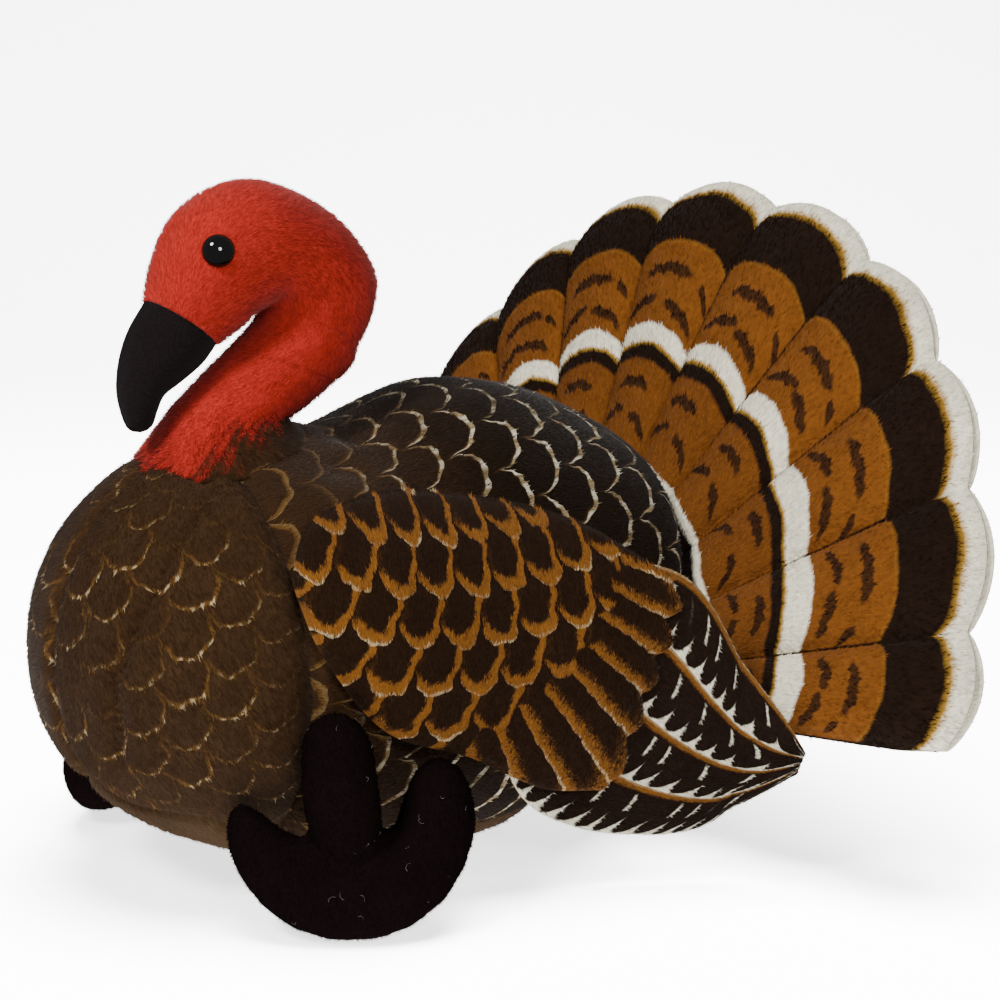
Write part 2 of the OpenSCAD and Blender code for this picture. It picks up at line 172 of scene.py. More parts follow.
def print_back(u, v):
    edge, along, _, number = scales(u + uneven(u, v, 0.9), v + uneven(v, u, 0.8), 21.0, 13.5)
    rear = ramp(12.0, 75.0, v)
    some = 0.35 + 0.65 * ramp(0.1, 0.5, chance(number))
    rusty = ramp(0.0, 0.05, edge - mix(1.0, 0.84, ramp(0.0, 0.7, along)))
    line = edge - mix(1.0, mix(0.91, 0.86, rear), ramp(0.20, 0.85, along))
    line = ramp(0.0, 0.035, line) * some
    bright = line * rear * ramp(-0.4, 0.4, wave(u * 0.9 + number))
    return [("back", 1.0), ("breast", (1 - rear) * 0.75),
            ("breast_rust", rusty * (0.70 - 0.30 * rear) * some),
            ("cream", line * (0.10 + 0.40 * rear)), ("white", bright * 0.55)]


def print_belly(u, v):
    patches = ramp(-0.2, 0.9, wave(u * 0.21 + wave(v * 0.13) * 2))
    return [("breast_light", 1.0), ("breast", patches * 0.4)]


WING_FAR = 69.0  # where the wing's long feathers begin, in mm from the first row
LONG_FEATHER = 44.0  # the length in mm that each of them counts as
FEATHERS_FROM = (-75.0, 150.0)  # the point that they spread from, in side view
SCALES_FROM = (-32.0, 262.0)  # the point that the rows of scales spread from
SCALE_LONG = 14.2
FEATHER_WIDE = 9.4


def long_feather_place(y, z):
    """Where a point of the wing lies round the point that the long feathers spread from, and how far
    from it in mm."""
    ahead = y - FEATHERS_FROM[0]
    turn = op("ARCTAN2", FEATHERS_FROM[1] - z, ahead)
    away = distance(ahead, z - FEATHERS_FROM[1]) - 32
    edge = ramp(-0.454, -0.942, turn * -1) * 27 + 86
    far = WING_FAR + (away - WING_FAR) * LONG_FEATHER / (edge - WING_FAR)
    return turn * 100, mix(away, far, ramp(WING_FAR - 0.01, WING_FAR, away))


def print_wing(y, z):
    """Rows of scales, then long feathers side by side; y and z are mm in side view."""
    u = op("ARCTAN2", y - SCALES_FROM[0], SCALES_FROM[1] - z) * 185
    v = distance(y - SCALES_FROM[0], z - SCALES_FROM[1]) - 135
    u = u + wave((v / SCALE_LONG - 0.25) * 2 * math.pi) * 0.6
    slanted = u + uneven(u, v, 1.0) + v * 0.10
    edge, along, across, number = scales(slanted, v + uneven(v, u, 1.0), 14.0, SCALE_LONG, 0.12, 2.3)
    hidden = ramp(-0.2, -0.7, across) * ramp(0.70, 0.40, along)
    scale_line = ramp(0.64, 0.78, edge + wave(u * 1.7 + v * 2.3) * 0.02) * (1 - 0.9 * hidden)
    bright = ramp(0.92, 0.96, edge) * ramp(0.66, 0.95, along) * (0.10 + 0.80 * chance(number))
    u, v = long_feather_place(y, z)
    x = fraction((u + uneven(u, v, 0.4)) / FEATHER_WIDE) * 2 - 1
    tip = ramp(WING_FAR + 31, WING_FAR + 42, v + (1 - x * x) * -5 + 3)
    grain = wave(u * 3.1 + wave(v * 1.7) * 2) * wave(v * 2.9 + u) * 0.16
    far_line = greater(ramp(0.15, 0.85, x + grain), tip * 0.8)
    far_bright = ramp(0.84, 0.90, x) * ramp(WING_FAR + 6, WING_FAR + 34, v) * 0.75
    far = ramp(WING_FAR - 0.4, WING_FAR + 0.4, v + wave(u * 0.5) * 2.0)
    return [("wing", 1.0), ("rust", mix(scale_line, far_line, far) * 0.9),
            ("cream", mix(bright, far_bright, far) * 0.85)]


def print_flight(u, v):
    """Long feathers side by side, one unit of u each: a gold leading edge, pale flames that rise from
    the other edge, and pale dashes in the middle."""
    cell = op("FLOOR", u)
    x = (u - cell) * 2 - 1
    rise = 1 - x
    place = (v - rise * 3.6 + rise * rise * 1.7 + cell * 2.9) / 5.8 + wave(v * 0.23 + cell) * 0.12
    off_beat = size(fraction(place) - 0.5)
    flame = ramp(0.0, 0.05, ramp(0.10, 1.0, x) * ramp(0.10, 1.0, x) * 0.30 - off_beat)
    dash = ramp(0.0, 0.04, 0.085 - size(fraction(place + 0.42) - 0.5))
    dash = dash * ramp(-0.68, -0.55, x) * ramp(0.12, 0.0, x)
    base = ramp(0.78, 0.86, x - off_beat * 0.35)
    gone = ramp(-0.5, 0.1, wave(op("FLOOR", place) * 2.7 + cell * 1.9))
    return [("fan_dark", 1.0), ("rust", ramp(-0.70, -0.82, x) * 0.75),
            ("white", greater(greater(flame, base) * 0.80, dash * gone * 0.7)),
            ("cream", ramp(-0.90, -0.96, x) * 0.5)]


# The fan's bands: the share of the lobe's radius at its middle and at its seams, and how much lower
# the band lies in the side lobes.
BANDS = {
    "rim": (1.012, 0.955, 0.0), "rust_top": (0.903, 0.845, 0.0), "white_top": (0.728, 0.672, 0.0),
    "white_low": (0.691, 0.650, 0.022), "black_low": (0.655, 0.618, 0.020),
    "inner_top": (0.470, 0.462, 0.0), "inner_low": (0.452, 0.446, 0.0),
}
# Brush marks of a lobe: [share of the radius, place across the lobe, half length, half thickness]
MARKS = [
    [0.748, -0.03, 0.56, 0.0125], [0.745, 0.80, 0.13, 0.011], [0.685, -0.44, 0.40, 0.0115],
    [0.676, 0.46, 0.40, 0.0125], [0.515, 0.00, 0.50, 0.0115], [0.458, -0.48, 0.36, 0.0105],
    [0.452, 0.46, 0.36, 0.0110],
]


def print_fan(u, v):
    """The fan's lobes. One unit of u is a lobe, and v is 100 at the valleys of its rim."""
    cell = op("FLOOR", u)
    across = (u - cell) * 2 - 1
    share = v * 0.01 + uneven(u * 30, v, 0.003)
    dome = op("SQRT", greater(1 - across * across, 0.0))
    side = ramp(1.6, 3.2, size(cell - 5))

    def beyond(band, soft=0.004, shift=0.0):
        middle, seam, drop = BANDS[band]
        return ramp(-soft, soft, share - shift + side * drop - (seam + (middle - seam) * dome))

    marks = 0.0
    for k, (at, place, half_long, half_thick) in enumerate(MARKS):
        off = (chance(cell + k * 3.7) - 0.5) * 0.24
        along = (across - place - off) / half_long
        rough = 1 + wave(u * 53.0 + k) * 0.16 + wave(u * 97.0 + v * 0.9) * 0.12
        away = (share - at - 0.095 * dome - wave(u * 31.0 + k) * 0.002) / half_thick * rough
        marks = greater(marks, ramp(1.25, 0.50, along * along * along * along + away * away))
    seam = ramp(0.962, 0.985, size(across)) * ramp(0.99, 0.93, share)
    # Painted shade: the fan_dark laid at 0.16 over the inner rust band darkens it for the shadow that
    # falls on the fan near its root, behind the body.
    return [("fan_dark", 1.0), ("white", beyond("inner_low")), ("fan_rust", beyond("inner_top")),
            ("fan_dark", beyond("inner_top") * 0.16), ("fan_dark", marks * 0.8),
            ("fan_dark", beyond("black_low")), ("gold", beyond("white_low", shift=-0.007)),
            ("white", beyond("white_low")), ("fan_rust", beyond("white_top")),
            ("fan_dark", marks * beyond("white_top") * 0.8),
            ("gold", beyond("rust_top", shift=-0.005) * 0.25), ("fan_dark", beyond("rust_top")),
            ("gold", beyond("rim", soft=0.006, shift=-0.008)),
            ("white", beyond("rim", soft=0.005)), ("fan_dark", seam)]


def print_red(u, v):
    """Red pile, darker in streaks, mottled with the breast's brown at the foot of the neck, higher up
    behind. u is 0 in front, and v falls from the breast to the beak."""
    streaks = ramp(0.2, 1.3, wave(u * 0.33 + wave(v * 0.09) * 1.7) + wave(u * 0.71 + v * 0.05))
    mottled = wave(u * 0.62 + v * 0.23) * 1.6 + wave(u * 1.7 - v * 1.5 + 1.1) * 1.7
    mottled = mottled + wave(u * 0.23 + 0.7) * 1.4
    low = v + mottled + ramp(20.0, 62.0, size(u)) * 14 - ramp(22.0, 6.0, size(u)) * 7
    return [("red", 1.0), ("red_dark", streaks * (0.06 + 0.30 * ramp(118.0, 150.0, v))),
            ("red_dark", ramp(143.0, 155.0, low) * 0.7), ("breast", ramp(149.0, 158.0, low))]


def plain(ink): return lambda u, v: [(ink, 1.0)]


# ---------------------------------------------------------------- materials


def new_material(name, roughness, sheen=0.0):
    material = bpy.data.materials.new(name)
    material.use_nodes = True
    shader = material.node_tree.nodes["Principled BSDF"]
    shader.inputs["Roughness"].default_value = roughness
    shader.inputs["Sheen Weight"].default_value = sheen
    shader.inputs["Sheen Roughness"].default_value = 0.5
    shader.inputs["Specular IOR Level"].default_value = 0.0
    return material, material.node_tree, shader


def noise(tree, vector, scale, detail=2.0):
    node = tree.nodes.new("ShaderNodeTexNoise")
    node.inputs["Scale"].default_value = scale
    node.inputs["Detail"].default_value = detail
    tree.links.new(vector, node.inputs["Vector"])
    return Field(tree, node.outputs["Fac"])


def bump(tree, shader, height, distance_m):
    node = tree.nodes.new("ShaderNodeBump")
    node.inputs["Distance"].default_value = distance_m
    tree.links.new(height.socket, node.inputs["Height"])
    tree.links.new(node.outputs["Normal"], shader.inputs["Normal"])


def rgb_mix(tree, kind, amount, a, b):
    """A colour Mix node, where amount is a number or Field and a and b are colours or sockets."""
    node = tree.nodes.new("ShaderNodeMix")
    node.data_type, node.blend_type = "RGBA", kind
    for socket, value in zip((node.inputs[0], node.inputs[6], node.inputs[7]), (amount, a, b)):
        if isinstance(value, Field):
            tree.links.new(value.socket, socket)
        elif isinstance(value, bpy.types.NodeSocket):
            tree.links.new(value, socket)
        else:
            socket.default_value = (*value, 1) if isinstance(value, tuple) else value
    return node.outputs[2]


def axes(tree, vector):
    """The X, Y and Z of a vector socket."""
    split = tree.nodes.new("ShaderNodeSeparateXYZ")
    tree.links.new(vector, split.inputs[0])
    return [Field(tree, output) for output in split.outputs]


def object_place(tree):
    return tree.nodes.new("ShaderNodeTexCoord").outputs["Object"]


def shaded(tree, shader, colour, shade):
    """The base colour: colour, lightened or darkened by the Field shade."""
    grey = tree.nodes.new("ShaderNodeCombineColor")
    for socket in grey.inputs:
        tree.links.new(shade.socket, socket)
    mixed = rgb_mix(tree, "MULTIPLY", 1.0, colour, grey.outputs[0])
    tree.links.new(mixed, shader.inputs["Base Color"])


def printed_plush(name, pattern, pile_mm=1.0, sheen=0.04, streak=(1.6, 0.45)):
    """Plush with a print: its inks, streaks of pile along v, slow changes of shade, a fibre bump."""
    material, tree, shader = new_material(name, 0.92, sheen)
    uv = tree.nodes.new("ShaderNodeUVMap")
    uv.uv_map = "print"
    colour = None
    for ink, amount in pattern(*axes(tree, uv.outputs["UV"])[:2]):
        colour = INKS[ink] if colour is None else rgb_mix(tree, "MIX", amount, colour, INKS[ink])
    stretch = tree.nodes.new("ShaderNodeMapping")
    stretch.inputs["Scale"].default_value = (*streak, 1)
    tree.links.new(uv.outputs["UV"], stretch.inputs["Vector"])
    fibres = noise(tree, stretch.outputs["Vector"], 1.0, 3.0)
    clouds = noise(tree, object_place(tree), 60.0)
    shaded(tree, shader, colour, (fibres - 0.5) * 0.9 + (clouds - 0.5) * 0.5 + 1.0)
    lumps = noise(tree, object_place(tree), 900.0)
    bump(tree, shader, fibres * 0.8 + lumps * 0.4, pile_mm * MM)
    return material


SHADES = (0.72, 1.0, 1.32)


def pile_materials(kind, inks, sheen):
    """One material for each ink and shade of the tufts, each one colour all over."""
    made = []
    for ink in inks:
        for k, shade in enumerate(SHADES):
            material, _, shader = new_material(f"{kind}_{ink}_{k}", 0.9, sheen)
            colour = [min(part * shade, 1) for part in INKS[ink]]
            shader.inputs["Base Color"].default_value = (*colour, 1)
            made.append(material)
    return made


def woven_fabric(name, ink, threads_per_mm):
    """Smooth cloth with a fine weave."""
    material, tree, shader = new_material(name, 0.7, 0.03)
    x, y, z = axes(tree, object_place(tree))
    turns = threads_per_mm * 2 * math.pi / MM
    warp = wave(x * turns)
    weft = wave((y + z) * (turns * 0.7))
    specks = noise(tree, object_place(tree), 1400.0, 1.0)
    shaded(tree, shader, INKS[ink], (specks - 0.5) * 0.9 + warp * 0.12 + weft * 0.12 + 1.0)
    bump(tree, shader, warp * weft * 0.5 + specks, 0.12 * MM)
    return material


def moulded_plastic(name, colour, roughness, grain=0.02):
    material, tree, shader = new_material(name, roughness)
    shader.inputs["Specular IOR Level"].default_value = 0.5
    shader.inputs["Base Color"].default_value = (*colour, 1)
    bump(tree, shader, noise(tree, object_place(tree), 700.0), grain * MM)
    return material


# ---------------------------------------------------------------- shapes


def unit(v):
    v = np.asarray(v, float)
    return v / np.maximum(np.linalg.norm(v, axis=-1, keepdims=True), 1e-12)


def ease(x):
    x = np.clip(x, 0, 1)
    return x * x * (3 - 2 * x)


def spline(rows, s):
    """Smooth values through the rows of a table, with s an array from 0 to 1."""
    rows = np.asarray(rows, float)
    last = len(rows) - 1
    x = np.minimum(np.asarray(s, float) * last, last - 1e-9)
    i = np.floor(x).astype(int)
    t = (x - i)[..., None]
    a, b, c, d = rows[np.maximum(i - 1, 0)], rows[i], rows[i + 1], rows[np.minimum(i + 2, last)]
    square, cube = 2 * a - 5 * b + 4 * c - d, 3 * b - a - 3 * c + d
    return (2 * b + (c - a) * t + square * t ** 2 + cube * t ** 3) / 2


def grid_normals(grid, ring=False):
    """Normals of a grid of points; ring joins its last column to its first."""
    if ring:
        padded = np.concatenate([grid[:, -1:], grid, grid[:, :1]], axis=1)
        across = (padded[:, 2:] - padded[:, :-2])
    else:
        across = np.gradient(grid, axis=1)
    return unit(np.cross(across, np.gradient(grid, axis=0)))


def grid_cells(rows, columns, first, flip):
    i, j = np.meshgrid(np.arange(rows - 1), np.arange(columns - 1), indexing="ij")
    a = first + i * columns + j
    cells = np.stack([a, a + columns, a + columns + 1, a + 1], axis=-1).reshape(-1, 4)
    return cells if flip else cells[:, ::-1]


def add_object(name, data):
    obj = bpy.data.objects.new(name, data)
    bpy.context.collection.objects.link(obj)
    return obj


def read(items, name, width=1, kind=float):
    """One property of a mesh's items as an array, with a row for each item if width is over 1."""
    values = np.empty(len(items) * width, kind)
    items.foreach_get(name, values)
    return values.reshape(-1, width) if width > 1 else values


def smooth_shaded(mesh):
    mesh.polygons.foreach_set("use_smooth", [True] * len(mesh.polygons))


def set_print_places(mesh, places):
    """Gives a mesh its print coordinates, which places has for each point."""
    layer = mesh.uv_layers.new(name="print")
    index = read(mesh.loops, "vertex_index", kind=int)
    layer.data.foreach_set("uv", np.asarray(places, np.float32)[index].ravel())


def make_object(name, points, cells, material, uv=None, outer=None):
    """A mesh object, whose first `outer` cells carry the pile."""
    mesh = bpy.data.meshes.new(name)
    mesh.from_pydata([tuple(p) for p in points], [], [tuple(int(k) for k in c) for c in cells])
    if uv is not None:
        set_print_places(mesh, uv)
    smooth_shaded(mesh)
    mesh.validate()
    obj = add_object(name, mesh)
    mesh.materials.append(material)
    obj["outer"] = len(cells) if outer is None else int(outer)
    return obj


def shell(name, outer, inner, uv, material, flip=False):
    """A closed skin between an outer grid of points and an inner one."""
    rows, columns = outer.shape[:2]
    index = np.arange(rows * columns).reshape(rows, columns)
    border = np.concatenate([index[0], index[1:, -1], index[-1, -2::-1], index[-2:0:-1, 0]])
    after = np.roll(border, -1)
    sides = np.stack([border, after, after + index.size, border + index.size], axis=1)
    front = grid_cells(rows, columns, 0, flip)
    back = grid_cells(rows, columns, index.size, not flip)
    cells = np.concatenate([front, back, sides[:, ::(1 if flip else -1)]])
    points = np.concatenate([outer.reshape(-1, 3), inner.reshape(-1, 3)])
    places = np.concatenate([uv.reshape(-1, 2)] * 2)
    obj = make_object(name, points, cells, material, places, len(front))
    weld(obj.data)
    return obj


def weld(mesh):
    """Joins points that lie on each other, so that a pole is one point."""
    bm = bmesh.new()
    bm.from_mesh(mesh)
    bmesh.ops.remove_doubles(bm, verts=bm.verts, dist=0.002 * MM)
    bmesh.ops.dissolve_degenerate(bm, dist=0.001 * MM, edges=bm.edges)
    bm.to_mesh(mesh)
    bm.free()


def cad_mesh(*nodes):
    """The points and faces of CAD nodes, one after another."""
    points, faces = [], []
    for name in nodes:
        mesh = frame["nodes"][name].data
        start = len(points)
        points += [tuple(v.co) for v in mesh.vertices]
        faces += [[start + k for k in p.vertices] for p in mesh.polygons]
    return points, faces


# ---------------------------------------------------------------- pile

MOST_TUFTS = 49000  # on one skin


def mesh_arrays(obj):
    """The triangles of an object's outer cells: corners, corner normals and print places."""
    mesh = obj.data
    mesh.calc_loop_triangles()
    keep = read(mesh.loop_triangles, "polygon_index", kind=int) < obj["outer"]
    corner = read(mesh.loop_triangles, "vertices", 3, int)[keep]
    loop = read(mesh.loop_triangles, "loops", 3, int)[keep]
    places = read(mesh.uv_layers["print"].data, "uv", 2)
    return read(mesh.vertices, "co", 3)[corner], read(mesh.vertices, "normal", 3)[corner], places[loop]


def triangle_areas(p):
    return np.linalg.norm(np.cross(p[:, 1] - p[:, 0], p[:, 2] - p[:, 0]), axis=1) / 2


def pile(skin, pattern, inks, seed, per_mm2, length, width=0.30, lean=66, sheen=0.05, trim=None):
    """Fibre tufts on a skin, thin closed spikes that lie along v of its print and take the ink under
    them. lean is their mean angle in degrees from upright, length and width are mm."""
    rng = np.random.default_rng(seed)
    p, n, uv = mesh_arrays(skin)
    area = triangle_areas(p)
    d1, d2 = uv[:, 1] - uv[:, 0], uv[:, 2] - uv[:, 0]
    turn = d1[:, 0] * d2[:, 1] - d2[:, 0] * d1[:, 1]
    along_v = d1[:, :1] * (p[:, 2] - p[:, 0]) - d2[:, :1] * (p[:, 1] - p[:, 0])
    along_v = unit(along_v * np.sign(turn)[:, None])
    count = min(int(area.sum() / MM ** 2 * per_mm2), MOST_TUFTS)
    pick = rng.choice(len(area), count, p=area / area.sum())
    r1, r2 = np.sqrt(rng.random(count)), rng.random(count)
    weight = np.stack([1 - r1, r1 * (1 - r2), r1 * r2], axis=1)[..., None]
    root, place = (p[pick] * weight).sum(1), (uv[pick] * weight).sum(1)
    normal = unit((n[pick] * weight).sum(1))
    ink = np.zeros(count, int)
    for name, amount in pattern(place[:, 0], place[:, 1]):
        amount = np.broadcast_to(np.asarray(amount, float), (count,))
        ink = np.where(amount > 0.25 + 0.5 * rng.random(count), inks.index(name), ink)
    nap = along_v[pick]
    nap = unit(nap - normal * (nap * normal).sum(1, keepdims=True))
    side = np.cross(normal, nap)
    angle = np.radians(lean + rng.normal(0, 9, count))[:, None]
    swing = rng.normal(0, 0.30, count)[:, None]
    grow = unit(np.cos(angle) * normal + np.sin(angle) * (nap + swing * side))
    long = (length * MM * (0.6 + 0.7 * rng.random(count)))[:, None]
    thick = (width * MM * (0.7 + 0.6 * rng.random(count)))[:, None]
    if trim is not None:
        keep = trim(root)
        kept = (root, normal, grow, side, long, thick, ink)
        root, normal, grow, side, long, thick, ink = (a[keep] for a in kept)
        count = len(root)
    base = root - normal * 0.15 * MM
    ridge = base + unit(np.cross(grow, side)) * thick * 0.8
    half = side * thick / 2
    spots = np.stack([base + half, base - half, ridge, root + grow * long], axis=1)
    first = (np.arange(count) * 4)[:, None, None]
    faces = (first + np.array([[0, 1, 2], [0, 3, 1], [1, 3, 2], [2, 3, 0]])[None]).reshape(-1, 3)
    mesh = bpy.data.meshes.new("pile_" + skin.name)
    mesh.vertices.add(count * 4)
    mesh.vertices.foreach_set("co", spots.astype(np.float32).ravel())
    mesh.loops.add(len(faces) * 3)
    mesh.loops.foreach_set("vertex_index", faces.ravel().astype(np.int32))
    mesh.polygons.add(len(faces))
    mesh.polygons.foreach_set("loop_start", np.arange(0, len(faces) * 3, 3, dtype=np.int32))
    index = ink * len(SHADES) + rng.integers(0, len(SHADES), count)
    mesh.polygons.foreach_set("material_index", np.repeat(index, 4).astype(np.int32))
    smooth_shaded(mesh)
    for material in pile_materials("pile_" + skin.name, inks, sheen):
        mesh.materials.append(material)
    mesh.update()
    soft = unit(normal * 0.75 + grow * 0.35)
    mesh.normals_split_custom_set_from_vertices(np.repeat(soft, 4, axis=0).tolist())
    return add_object("pile_" + skin.name, mesh)


# ---------------------------------------------------------------- body

CORE = np.array([0, -32, 72]) * MM  # the point inside the body that its rays start from
NECK_BASE = np.array([0, -71, 142]) * MM
HOLLOW_R = 37 * MM
TH_CUTS, PH_CUTS = 120, 180
LOWEST, LOWEST_INSIDE = 0.0002, 0.0014  # the least height of a skin's outer and inner points


def body_direction(theta, phi):
    """theta is 0 at the front of the breast and 180 at the rump, phi is 0 at the top and 90 on the
    bird's left."""
    theta, phi = np.radians(theta), np.radians(phi)
    x, z = np.sin(theta) * np.sin(phi), np.sin(theta) * np.cos(phi)
    return np.stack([x, -np.cos(theta) + 0 * phi, z], axis=-1)


def body_reach():
    """How far the body's surface lies from its core in every direction, with the neck's hollow filled
    over and facets smoothed."""
    panels = "breast_left", "breast_right", "back_panel", "belly_panel", "body_stuffing"
    tree = BVHTree.FromPolygons(*cad_mesh(*panels))
    theta, phi = np.linspace(0, 180, TH_CUTS + 1), np.linspace(-180, 180, PH_CUTS + 1)
    theta, phi = np.meshgrid(theta, phi, indexing="ij")
    ways = body_direction(theta, phi)
    reach = np.empty(theta.shape)
    for i, j in np.ndindex(theta.shape):
        start = Vector(CORE + ways[i, j] * 0.3)
        hit = tree.ray_cast(start, Vector(-ways[i, j]))
        reach[i, j] = (hit[0] - Vector(CORE)).length if hit[0] else np.nan
    where = CORE + ways * reach[..., None]
    hollow = (where[..., 2] > 0.1) & (np.hypot(where[..., 0], where[..., 1] - NECK_BASE[1]) < HOLLOW_R)
    hollow |= np.isnan(reach)
    reach[hollow] = np.nanmean(reach[~hollow])

    def average(r):
        r = np.concatenate([r[:, -2:-1], r, r[:, 1:2]], axis=1)
        r = (r[:, :-2] + 2 * r[:, 1:-1] + r[:, 2:]) / 4
        return np.concatenate([r[:1], (r[:-2] + 2 * r[1:-1] + r[2:]) / 4, r[-1:]])

    for _ in range(600):
        reach[hollow] = average(reach)[hollow]
    for _ in range(5):
        reach = average(reach)
    for pole in (0, -1):
        reach[pole] = reach[pole].mean()
    return reach


REACH = body_reach()


def raise_to(lowest, points):
    points[..., 2] = np.maximum(points[..., 2], lowest)
    return points


def body_at(theta, phi, raised=0.0):
    """Points on the body, raised in metres."""
    x = np.asarray(theta) / 180 * TH_CUTS
    y = (np.asarray(phi) + 180) % 360 / 360 * PH_CUTS
    i = np.clip(np.floor(x).astype(int), 0, TH_CUTS - 1)
    j = np.clip(np.floor(y).astype(int), 0, PH_CUTS - 1)
    fx, fy = x - i, y - j
    near = REACH[i, j] * (1 - fx) + REACH[i + 1, j] * fx
    far = REACH[i, j + 1] * (1 - fx) + REACH[i + 1, j + 1] * fx
    r = near * (1 - fy) + far * fy
    return raise_to(LOWEST, CORE + body_direction(theta, phi) * (r + raised)[..., None])


BODY_R = 72  # the radius in mm that a print's angles round the body count by


def breast_print_place(p):
    """Print place on the breast: scales run down and back, mirrored about the middle seam."""
    side, ahead, down = np.abs(p[..., 0]), -(p[..., 1] + 50 * MM), 75 * MM - p[..., 2]
    around = np.arctan2(side, ahead) * BODY_R
    drop = np.arctan2(down, np.hypot(side, ahead)) * BODY_R
    cos, sin = math.cos(math.radians(35)), math.sin(math.radians(35))
    return np.stack([around * cos - drop * sin, around * sin + drop * cos], axis=-1)


def back_print_place(p):
    """Print place on the back: scales run to the rump."""
    around = np.arctan2(p[..., 0], p[..., 2] - 72 * MM) * BODY_R
    return np.stack([around, p[..., 1] / MM + 60 + np.abs(around) * 0.28], axis=-1)


def belly_print_place(p): return p[..., :2] / MM


def run_length(grid):
    """How far down its column each point of a grid lies from the first row."""
    steps = np.linalg.norm(np.diff(grid, axis=0), axis=2)
    return np.concatenate([np.zeros((1, grid.shape[1])), np.cumsum(steps, axis=0)])


def sewn(grid, seams, depth=1.7 * MM, width=2.6 * MM, gather=0.35 * MM):
    """The grid sunk along its sewn borders, with small gathers that fade away from the thread."""
    down, over = run_length(grid), run_length(grid.swapaxes(0, 1)).T
    away_from = {"first": down, "last": down[-1:] - down, "left": over, "right": over[:, -1:] - over}
    sink = np.zeros(grid.shape[:2])
    for border in seams:
        away = away_from[border]
        along = over if border in ("first", "last") else down
        sink = np.maximum(sink, depth * np.exp(-(away / width) ** 2))
        near = np.exp(-away / (5 * MM)) * ease(away / (1.5 * MM))
        sink = sink + gather * near * np.sin(along / (1.05 * MM) + 2 * np.sin(along / (9 * MM)))
    return grid - grid_normals(grid) * sink[..., None]


def soft_lumps(p, amount):
    """Slow swells of hand-stuffed filling, in metres."""
    x, y, z = np.moveaxis(p / MM, -1, 0)
    swells = np.sin(x / 13 + z / 17) + np.sin(y / 15 - z / 11 + 1) + np.sin(x / 9 + y / 8 + 2)
    return amount * swells / 3


SPLIT = 52.5  # theta of the seam between the breast and the back
BELLY_FROM = 12.0  # theta where the belly panel begins
DART_PHI = [28, 41, 60, 83, 126, 150]  # the breast's darts: theta at each phi
DART_THETA = [46, 33, 22, 16.4, 18.1, 24]


def belly_seam(theta): return 180 - 36 * ease((theta - BELLY_FROM) / 28)
def right_belly_seam(theta): return -belly_seam(theta)
def belly_far_seam(theta): return 360 - belly_seam(theta)
def middle_seam(theta): return np.zeros(len(theta))


def dart_depth(theta, phi):
    """How deep the breast is drawn in along its sewn darts, in metres."""
    phi = np.abs(phi)
    away = np.radians(theta - np.interp(phi, DART_PHI, DART_THETA)) * 75 * MM
    pucker = 1 + 0.25 * np.sin(phi * 1.3 + 2 * np.sin(phi * 0.17))
    return 2.1 * MM * np.exp(-(away / (2.4 * MM)) ** 2) * ease((142 - phi) / 20) * pucker


def body_panel(name, thetas, left, right, columns, seams, place, material):
    """One panel of the body between two seams given as functions of theta."""
    t = np.linspace(0, 1, columns)[None, :]
    theta = np.broadcast_to(thetas[:, None], (len(thetas), columns))
    phi = left(thetas)[:, None] * (1 - t) + right(thetas)[:, None] * t
    way, grid = body_direction(theta, phi), body_at(theta, phi)
    grid = grid + way * soft_lumps(grid, 0.9 * MM)[..., None]
    grid = sewn(grid, seams, depth=2.6 * MM, width=3.2 * MM)
    if name.startswith("breast"):
        grid = grid - way * dart_depth(theta, phi)[..., None]
    raise_to(LOWEST, grid)
    inner = raise_to(LOWEST_INSIDE, CORE + (grid - CORE) * 0.985)
    return shell(name, grid, inner, place(grid), material)


# Each kind of body cloth: its print and the inks of its tufts.
BODY_CLOTH = {
    "breast": (print_breast, ["breast", "breast_light", "breast_rust", "cream"]),
    "back": (print_back, ["back", "breast", "breast_rust", "cream", "white"]),
    "belly": (print_belly, ["breast_light", "breast"]),
}


def clear_of_neck(p):
    return (np.hypot(p[:, 0], p[:, 1] + 74 * MM) > 21 * MM) | (p[:, 2] < 100 * MM)


def make_body():
    front = np.linspace(0, SPLIT, 56)
    rear = np.linspace(SPLIT, 180, 100)
    under = np.linspace(BELLY_FROM, 180, 90)
    cloth = {kind: printed_plush(kind + "_plush", row[0]) for kind, row in BODY_CLOTH.items()}
    sides = "left", "right"
    # Kind, tufts per mm2, CAD nodes, and what body_panel takes
    rows = [
        ("breast", 2.6, ["breast_left"],
         ("breast_left", front, middle_seam, belly_seam, 72, (*sides, "last"), breast_print_place)),
        ("breast", 1.5, ["breast_right"],
         ("breast_right", front, right_belly_seam, middle_seam, 72, (*sides, "last"),
          breast_print_place)),
        ("back", 1.3, ["back_panel", "body_stuffing"],
         ("back", rear, right_belly_seam, belly_seam, 150, (*sides, "first"), back_print_place)),
        ("belly", 0.5, ["belly_panel"],
         ("belly", under, belly_seam, belly_far_seam, 40, sides, belly_print_place)),
    ]
    panels = [body_panel(*shape, cloth[kind]) for kind, _, _, shape in rows]
    for k, (panel, (kind, tufts_per_mm2, nodes, _)) in enumerate(zip(panels, rows)):
        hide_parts(*nodes)
        pattern, inks = BODY_CLOTH[kind]
        fur = pile(panel, pattern, inks, 11 + k, tufts_per_mm2, 1.5, trim=clear_of_neck)
        for part in (panel, fur):
            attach(part, "torso")
            kind + "_plush"


make_body()

# ---------------------------------------------------------------- neck and head

